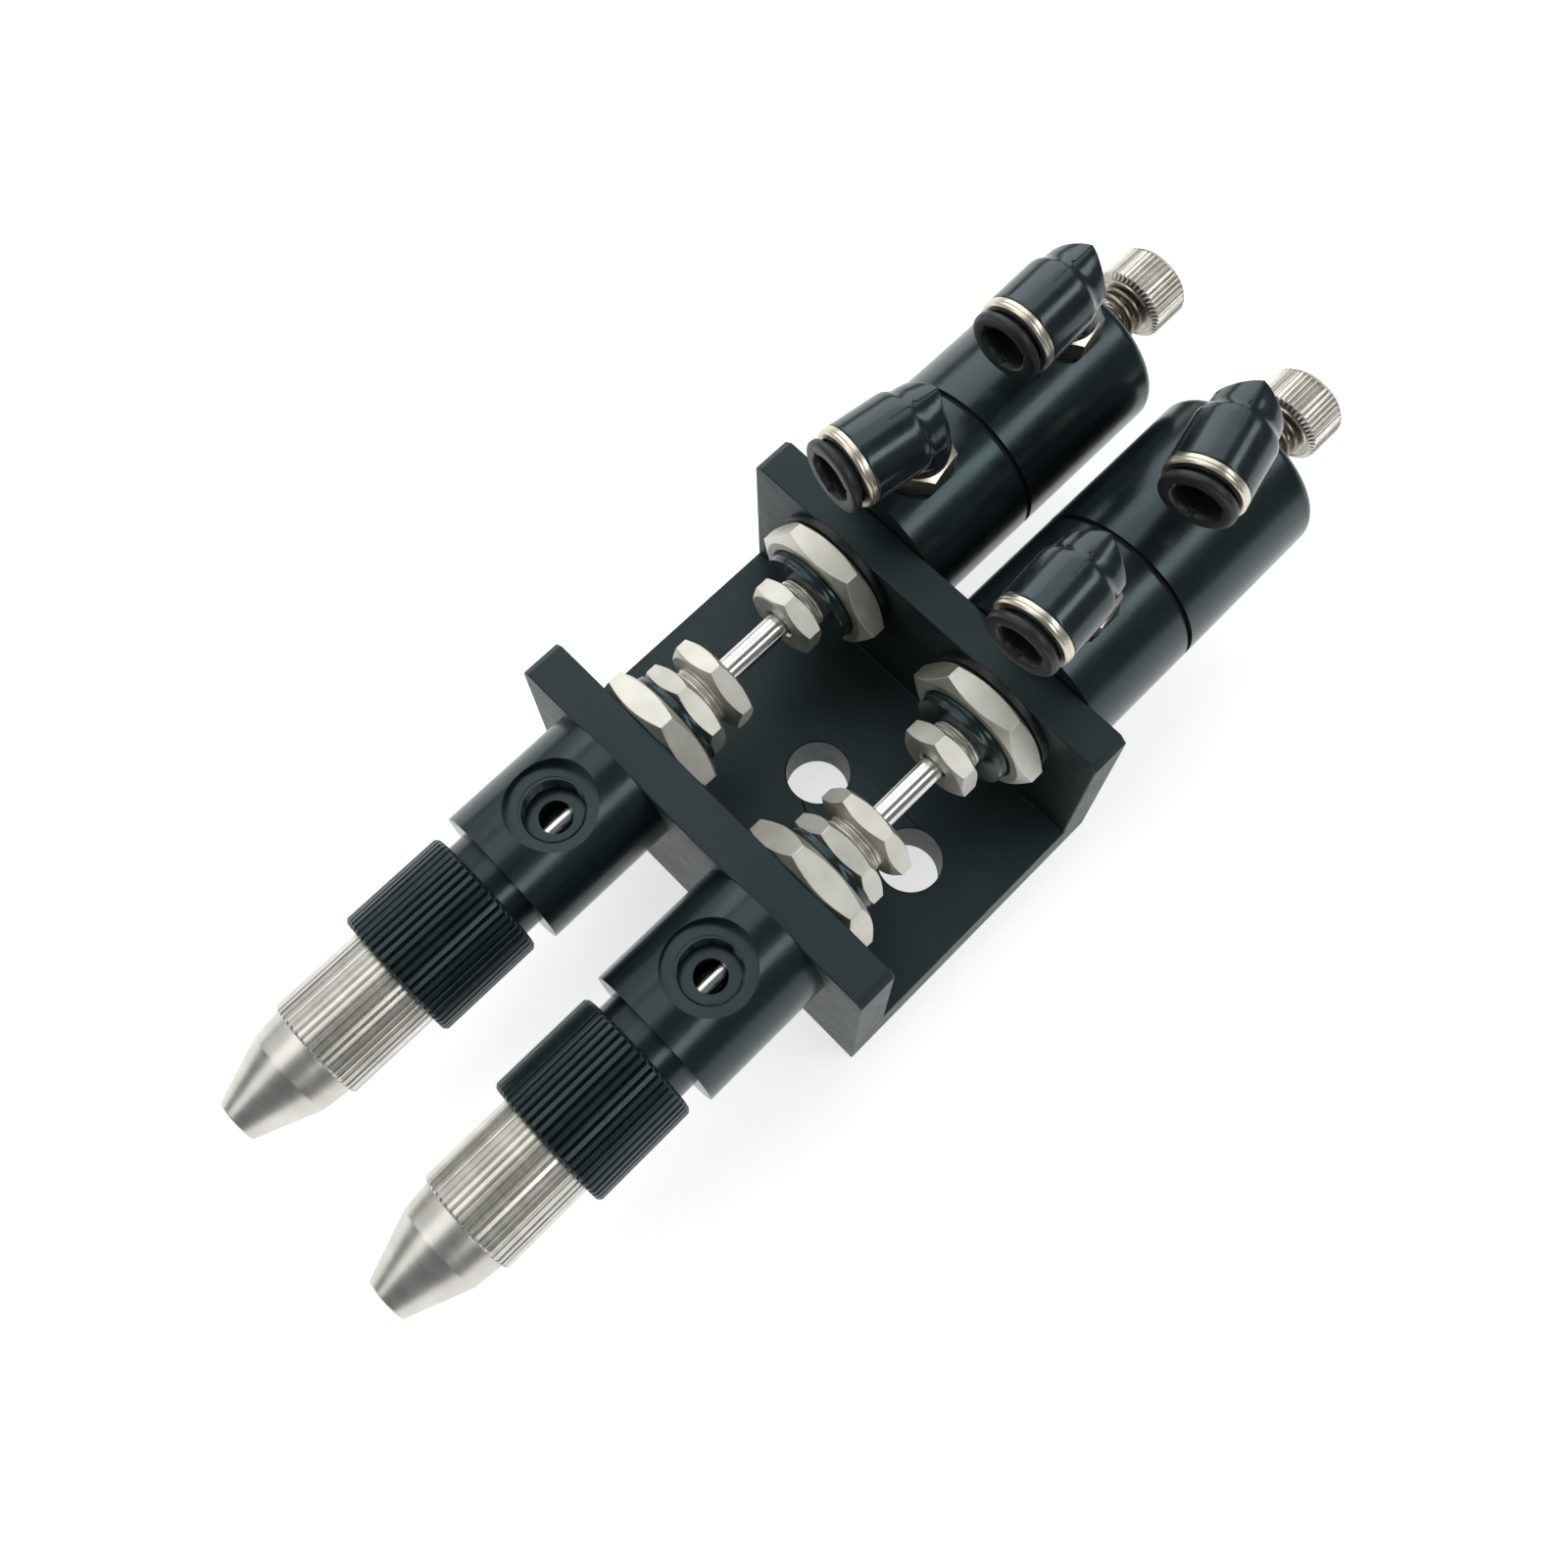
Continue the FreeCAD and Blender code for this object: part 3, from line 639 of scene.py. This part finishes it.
def screw_seat(side, x):
    """Thin brassy washer under the spring, on the cap's rear face."""
    front = span(side + "_cylinder_cap", 1)[1]
    back = front + 0.28
    ring = [(front, 2.75), (back, 2.75), (back, 4.3), (front, 4.5)]
    lathe(side + "_spring_seat", rounded(ring, 0.08), x, "frame", M["tan"], segments=96)


# ---- push-in elbows -----------------------------------------------------------------------------
def mouth_angle(side, end):
    """Swivel of an elbow's mouth from -Y, from the way its release collar is pushed."""
    for joint in frame["joints"]:
        if joint["name"] == side + "_" + end + "_release_push":
            ax = joint["axis"]
            return math.atan2(-ax[0], ax[1])
    raise ValueError("no release joint")


def place_fitting(bm, side, end):
    """Moves a fitting's mesh, made with its stud along Z at the origin and its mouth along -Y."""
    stud = side + "_" + end + "_stud"
    move_to(bm, middle(stud, 0), middle(stud, 1), AXIS_Z, Matrix.Rotation(mouth_angle(side, end), 3, "Z"))


def heel_end(a):
    """How far the elbow's heel reaches beyond the stud's axis, by angle from its crest: a pointed prow."""
    under = 0.9 * (1 - math.cos(a)) if math.cos(a) < 0 else 0.0
    return PROW - PROW_SLOPE * HEEL_R * abs(math.sin(a)) - under


def heel_radius(a):
    """The heel's section about the mouth's axis: narrower than the barrel, peaked at the crest."""
    top = max(math.cos(a), 0.0)
    from_crest = abs(a if a < math.pi else a - TAU)
    return HEEL_R + 0.45 * top ** 3 + 0.15 * max(0.0, 1 - from_crest / 0.35)


def elbow_shell(bm):
    """Barrel and heel of an elbow as one closed skin about the mouth's axis."""
    segments = 96
    ring_back = -REACH + RING_OUT + RING_W
    heel_start = -SHOULDER + 0.8

    def ring_at(radius_of, y_of):
        def place(a):
            r = radius_of(a)
            return r * math.sin(a), y_of(a), RISE + r * math.cos(a)
        return ring_into(bm, segments, place)

    loops = [[bm.verts.new((0, ring_back, RISE))]]
    # y, share of the way from the barrel's section to the heel's, and how far it stands back
    for y, t, less in ((ring_back, 0.0, -0.12), (ring_back + 0.12, 0.0, 0.0), (-SHOULDER - 1.1, 0.0, 0.0),
                       (-SHOULDER - 0.45, 0.12, 0.0), (-SHOULDER, 0.55, 0.0), (-SHOULDER + 0.35, 0.86, 0.0),
                       (heel_start, 1.0, 0.0)):
        loops.append(ring_at(lambda a: ELBOW_R + (heel_radius(a) - ELBOW_R) * t + less, lambda a: y))
    for t in (0.35, 0.7, 1.0):
        loops.append(ring_at(lambda a: heel_radius(a) - 0.2 * t * t,
                             lambda a: heel_start + (heel_end(a) - heel_start) * t))
    loops.append([bm.verts.new((0, heel_end(math.pi / 2) + 0.4, RISE - 1.0))])
    skin_into(bm, loops)


def boss_into(bm):
    """Upright boss under the heel; its back half rises to the prow's edge."""
    segments = 96
    neck_top = RISE - 3.7

    def risen(r, share):
        def place(a):
            px, py = r * math.sin(a), r * math.cos(a)
            if py > 0:
                high = (px, PROW - PROW_SLOPE * abs(px) - 0.05,
                        RISE + math.sqrt(max(HEEL_R ** 2 - px ** 2, 0.0)) - 0.05)
            else:
                high = (px, max(py, -3.5), RISE)
            low = (NECK_R * math.sin(a), NECK_R * math.cos(a), neck_top)
            return tuple(m + (n - m) * share for m, n in zip(low, high))
        return ring_into(bm, segments, place)

    loops = [[bm.verts.new((0, 0, BOSS_LOW))]]
    for z, r in ((BOSS_LOW, BOSS_R - 0.15), (BOSS_LOW + 0.15, BOSS_R), (BOSS_LOW + 1.2, BOSS_R),
                 (BOSS_LOW + 1.6, BOSS_R - 0.25), (neck_top, NECK_R)):
        loops.append(ring_into(bm, segments, lambda a: (r * math.sin(a), r * math.cos(a), z)))
    loops += [risen(4.6, 0.5), risen(4.75, 1.0), [bm.verts.new((0, 0, RISE))]]
    skin_into(bm, loops)


def fused(bm, voxel, rounds):
    """One skin over overlapping closed shells, softened like a moulding. Works in millimetres."""
    obj = object_of("fusing", bm)
    mesh = obj.data
    remesh = obj.modifiers.new("remesh", "REMESH")
    remesh.mode = "VOXEL"
    remesh.voxel_size = voxel
    soften = obj.modifiers.new("soften", "SMOOTH")
    soften.factor = 0.5
    soften.iterations = rounds
    graph = bpy.context.evaluated_depsgraph_get()
    skin = bpy.data.meshes.new_from_object(obj.evaluated_get(graph))
    out = bmesh.new()
    out.from_mesh(skin)
    bpy.data.objects.remove(obj)
    bpy.data.meshes.remove(mesh)
    bpy.data.meshes.remove(skin)
    return out


def elbow(side, end):
    """An elbow's moulding and the parting line along its crest, jogged at the shoulder."""
    name = side + "_" + end + "_elbow"
    bm = bmesh.new()
    elbow_shell(bm)
    boss_into(bm)
    bm = fused(bm, 0.13, 3)
    place_fitting(bm, side, end)
    finish_mesh(name + "_moulding", bm, name, M["elbow"], (name,), sharp=60)
    bm = bmesh.new()
    # x, y and how far below the barrel's crest
    line = ((0.0, -5.4, 0.0), (0.0, -3.2, 0.0), (0.0, -2.5, 0.05), (0.5, -2.2, 0.1), (-0.35, -1.6, 0.1),
            (0.0, -1.2, 0.1), (0.0, 0.6, 0.16), (0.0, 1.95, 0.28))
    tube_into(bm, [(px, py, RISE + ELBOW_R - drop + 0.02) for px, py, drop in line], 0.08, 8)
    place_fitting(bm, side, end)
    # The ridge's darker finish is painted shade along the parting line.
    finish_mesh(name + "_parting", bm, name, M["parting"])


def mouth(side, end):
    """Grooved metal ring and release collar at an elbow's mouth."""
    base = side + "_" + end
    face = -REACH
    front, back = face + RING_OUT, face + RING_OUT + RING_W
    ring = [(front, MOUTH_R), (front, ELBOW_R - 0.25, 0.15), (front + 0.35, ELBOW_R, 0.12),
            (front + 0.62, ELBOW_R - 0.02, 0.05), (front + 0.7, ELBOW_R - 0.14, 0.05),
            (front + 0.78, ELBOW_R - 0.02, 0.05), (back - 0.05, ELBOW_R - 0.02, 0.05),
            (back, ELBOW_R - 0.2, 0.05), (back, MOUTH_R)]
    release = [(face, 3.35, 0.25), (face, 4.85, 0.3), (face + 0.35, RELEASE_R, 0.25),
               (face + 1.1, RELEASE_R, 0.15), (face + 1.18, SLEEVE_R, 0.05), (face + 6.2, SLEEVE_R, 0.1),
               (face + 6.2, TUBE_R, 0.1), (face + 0.8, TUBE_R, 0.2)]

    def notched(y, r, a):
        """Three small notches in the edge of the collar's bore."""
        if r < 3.6 and y < face + 0.9:
            for turn in (0.5, 2.6, 4.7):
                gap = abs((a - turn + math.pi) % TAU - math.pi)
                r += 0.35 * max(0.0, 1 - gap / 0.16)
        return r

    for name, profile, segments, shape, body, material, node, slot in (
            ("_ring_band", rounded(ring, 0.05), 128, None, "_elbow", "fitting", "_ring", "brass_nickel"),
            ("_release_collar", rounded(release, 0.2), 160, notched, "_release", "release", "_release",
             "release_plastic")):
        bm = bmesh.new()
        lathe_into(bm, profile, segments, shape)
        move_to(bm, 0, 0, RISE)
        place_fitting(bm, side, end)
        finish_mesh(base + name, bm, base + body, M[material], (base + node,))


for side, x in HEAD_X.items():
    for make in (nozzle_nut, collar, port_thread, visible_threads, hexagons, adjusting_screw,
                 adjusting_spring, screw_seat):
        make(side, x)
    for end in ("front", "rear"):
        elbow(side, end)
        mouth(side, end)


# ---- floor, light and camera --------------------------------------------------------------------
def floor():
    """A plain pale floor, lit from within a little so that it stays near white."""
    bm = bmesh.new()
    bmesh.ops.create_grid(bm, x_segments=2, y_segments=2, size=2.0)
    obj = object_of("floor", bm)
    obj.location.z = cad_bounds[0][2] - 0.0002
    pale = surface("pale_floor", (0.66, 0.66, 0.66), (0.68, 0.68, 0.68), (0.75, 0.85), specular=0.2,
                   mottle=(3, 3, 3))
    shader = pale.node_tree.nodes["Principled BSDF"]
    shader.inputs["Emission Color"].default_value = (1, 1, 1, 1)
    shader.inputs["Emission Strength"].default_value = 0.66
    obj.data.materials.append(pale)


def area_light(name, place, aim, size, power):
    light = bpy.data.lights.new(name, "AREA")
    light.shape = "RECTANGLE"
    light.size, light.size_y = size
    light.energy = power
    obj = bpy.data.objects.new(name, light)
    bpy.context.scene.collection.objects.link(obj)
    obj.location = place
    obj.rotation_euler = (Vector(aim) - Vector(place)).to_track_quat("-Z", "Y").to_euler()


def studio():
    """Soft lights whose reflections draw the long streaks on the black cylinders (metres, watts)."""
    world = bpy.data.worlds.new("studio")
    world.use_nodes = True
    background = world.node_tree.nodes["Background"]
    background.inputs["Color"].default_value = (0.93, 0.98, 1.0, 1)
    background.inputs["Strength"].default_value = 0.2
    bpy.context.scene.world = world
    area_light("key", (-0.60, 0.36, 0.42), (0, 0, 0.03), (0.60, 0.50), 2.1)
    area_light("fill", (-0.66, -0.14, 0.40), (0, 0, 0.03), (0.60, 0.60), 0.7)
    area_light("top", (-0.235, 0.02, 0.66), (0, 0, 0.03), (1.40, 0.42), 2.6)
    area_light("strip", (0.45, 0.19, 0.58), (0, 0, 0.03), (0.9, 0.17), 1.8)
    area_light("front", (-0.26, -0.56, 0.38), (0, -0.06, 0.03), (0.26, 0.30), 0.3)


def camera():
    """The viewing angle: high above the front right, lens and shift as the framing needs."""
    azimuth, elevation, roll = math.radians(48.96), math.radians(67.79), math.radians(-3.56)
    place = (0.0498, -0.0551, 0.2423)
    level = math.cos(elevation)
    back = Vector((math.sin(azimuth) * level, -math.cos(azimuth) * level, math.sin(elevation)))
    right = Vector((0, 0, 1)).cross(back).normalized()
    up = back.cross(right)
    turned_right = right * math.cos(roll) + up * math.sin(roll)
    turned_up = up * math.cos(roll) - right * math.sin(roll)
    cam = bpy.data.cameras.new("camera")
    obj = bpy.data.objects.new("camera", cam)
    bpy.context.scene.collection.objects.link(obj)
    turn = Matrix((turned_right, turned_up, back)).transposed()
    obj.matrix_world = Matrix.Translation(place) @ turn.to_4x4()
    cam.sensor_width = 36
    cam.lens = 39.95
    cam.shift_x, cam.shift_y = 0.0241, -0.0953
    cam.clip_start = 0.01
    bpy.context.scene.camera = obj


floor()
studio()
camera()
bpy.context.scene.view_settings.view_transform = "Standard"
